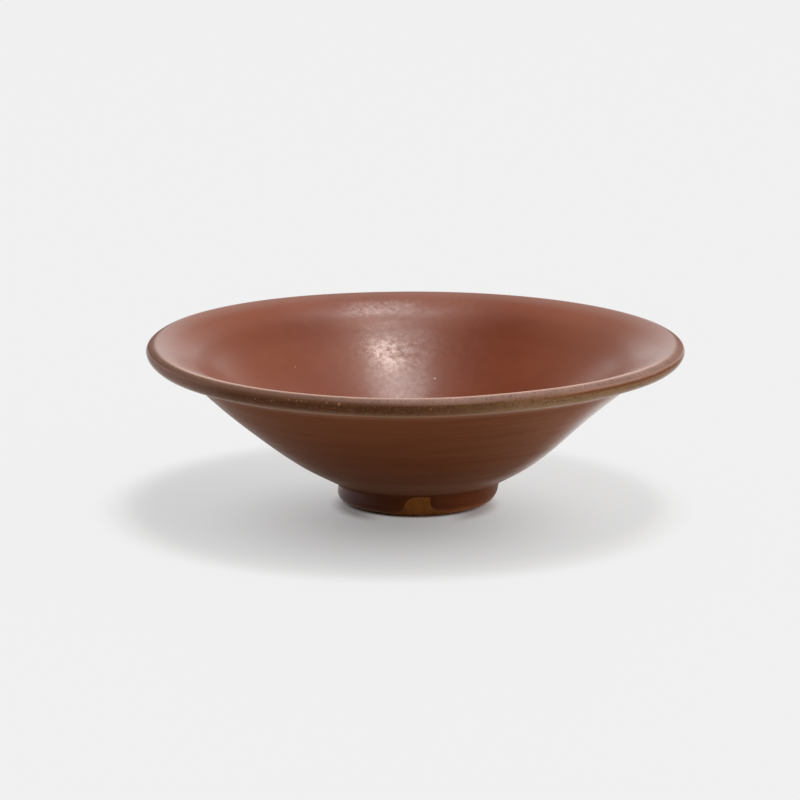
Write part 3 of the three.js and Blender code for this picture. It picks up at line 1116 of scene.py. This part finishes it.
recess_radius = contact_radius - contact_width
contact_round = 0.6 * mm  # where the outer edge of the ring starts to round up from the table
contact_lead = 0.3 * mm  # how far out the corner lies that it rounds off
contact_edge = spot(contact_radius - contact_round, 0)
contact_corner = spot(contact_radius + contact_lead, 0)
ring_line = chain([spot(recess_radius, 0)], bend(contact_edge, contact_corner, clay[0], foot_pitch))
ring_section = [(place, 0.0, still) for place in ring_line]
ring_section += [(clay[k], runs[k], still) for k in range(1, crease_at + 1)]
ring_section.append((spot(recess_radius - recess_taper, seat_height), 0.0, still))
ring_section.append(ring_section[0])
turned_foot = throw("turned_foot", ring_section, bare_clay, {"Turns": 512})

# %% Throw the coats of glaze
wall_coat = throw("wall_coat", coat_section(crease_at, arris_at, calm=5 * mm), brown_glaze, {
    "Turns": 512, "Ring depth": 0.05 * mm, "Ring spacing": 2.6 * mm, "Dimple depth": 0.06 * mm})
lip_coat = throw("lip_coat", coat_section(arris_at, ridge_at), worn_glaze, {"Turns": 1024})
inside_coat = throw("inside_coat", coat_section(ridge_at, floor_at, calm=6 * mm), russet_glaze, {
    "Turns": 448, "Ring depth": 0.015 * mm, "Ring spacing": 3.5 * mm, "Dimple depth": 0.04 * mm,
    "Seed": 3.0})
foot_coat = throw("foot_coat", coat_section(0, crease_at), brown_glaze, {"Turns": 768})

# %% [markdown]
# ## The bare patch
# Where the potter held the foot to dip the bowl, no glaze has stuck, and clay shows through a ragged
# hole in the coat. The hole is a prism with a drawn outline, taken out of the coat by a Boolean modifier.
# Glaze never ends in a square cut, so the coat is first thinned towards the outline, point by point.

# %% Thin the coat round the patch
patch_corners = [  # across and up in millimetres, seen from the front, anticlockwise
    (-4.3, -0.6), (9.2, -0.6), (8.9, 1.1), (7.6, 1.9), (6.8, 1.9), (6.2, 2.6), (5.2, 3.1), (4.5, 3.7),
    (4.25, 4.5), (4.4, 5.9), (4.2, 6.75), (2.4, 6.65), (0.6, 6.75), (-0.9, 6.5), (-1.7, 5.9), (-2.3, 5.2),
    (-2.9, 4.0), (-3.2, 3.0), (-3.8, 2.1), (-4.1, 1.0)]
thinned = 0.42 * mm
thin_reach = 0.7 * mm


def corners_cut(outline):
    cut = []
    for here, ahead in zip(outline, outline[1:] + outline[:1]):
        cut += [here.lerp(ahead, 0.25), here.lerp(ahead, 0.75)]
    return cut


def distance_from(outline, across, up):
    nearest = numpy.full(across.shape, numpy.inf)
    for here, ahead in zip(outline, outline[1:] + outline[:1]):
        side = ahead - here
        share = ((across - here.x) * side.x + (up - here.y) * side.y) / side.length_squared
        share = numpy.clip(share, 0, 1)
        apart = numpy.hypot(across - here.x - share * side.x, up - here.y - share * side.y)
        nearest = numpy.minimum(nearest, apart)
    return nearest


patch_outline = corners_cut(corners_cut([mm * Vector(corner) for corner in patch_corners]))
count = len(foot_coat.data.vertices)
places = numpy.empty(count * 3)
pushes = numpy.empty(count * 3)
foot_coat.data.vertices.foreach_get("co", places)
foot_coat.data.attributes["push"].data.foreach_get("vector", pushes)
places = places.reshape(count, 3)
pushes = pushes.reshape(count, 3)
apart = distance_from(patch_outline, places[:, 0], places[:, 2])
closeness = numpy.clip(1 - apart / thin_reach, 0, 1) * (places[:, 1] < 0)
places -= pushes * (thinned * closeness ** 2)[:, None]
foot_coat.data.vertices.foreach_set("co", places.ravel())
print("points thinned round the patch:", int((closeness > 0).sum()))

# %% Cut the patch
cut_from = -2 * foot_radius
cut_to = -contact_radius / 2
front = [(place.x, cut_from, place.y) for place in patch_outline]
back = [(place.x, cut_to, place.y) for place in patch_outline]
around = len(patch_outline)
sides = [(k, k + around, (k + 1) % around + around, (k + 1) % around) for k in range(around)]
ends = [list(range(around)), list(range(around, 2 * around))[::-1]]
prism = bpy.data.meshes.new("patch_prism")
prism.from_pydata(front + back, [], sides + ends)
prism.materials.append(brown_glaze)  # the cut edge is glaze too
cutter = new_object("patch_prism", prism)
cutting = foot_coat.modifiers.new("bare patch", "BOOLEAN")
cutting.operation = "DIFFERENCE"
cutting.solver = "MANIFOLD"
cutting.object = cutter
as_plain_mesh(foot_coat)
bpy.data.objects.remove(cutter)
bpy.data.meshes.remove(prism)

# %% [markdown]
# ## Handing the pieces to the frame
# Each piece stands for one solid of the imported model, whose own mesh is hidden, and rides on its body.
# The list also names the record's material slot that each piece's finish belongs to.

# %% Fit the pieces to the frame and finish
fits = [
    (thrown_body, "clay_body", "bare_clay"),
    (turned_foot, "foot_ring", "bare_clay"),
    (wall_coat, "outer_glaze", "brown_glaze"),
    (lip_coat, "lip_glaze", "worn_lip_glaze"),
    (inside_coat, "inner_glaze", "russet_glaze"),
    (foot_coat, "foot_glaze", "brown_glaze"),
]
for piece, node_name, slot_name in fits:
    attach(piece, "root")
    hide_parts(node_name)
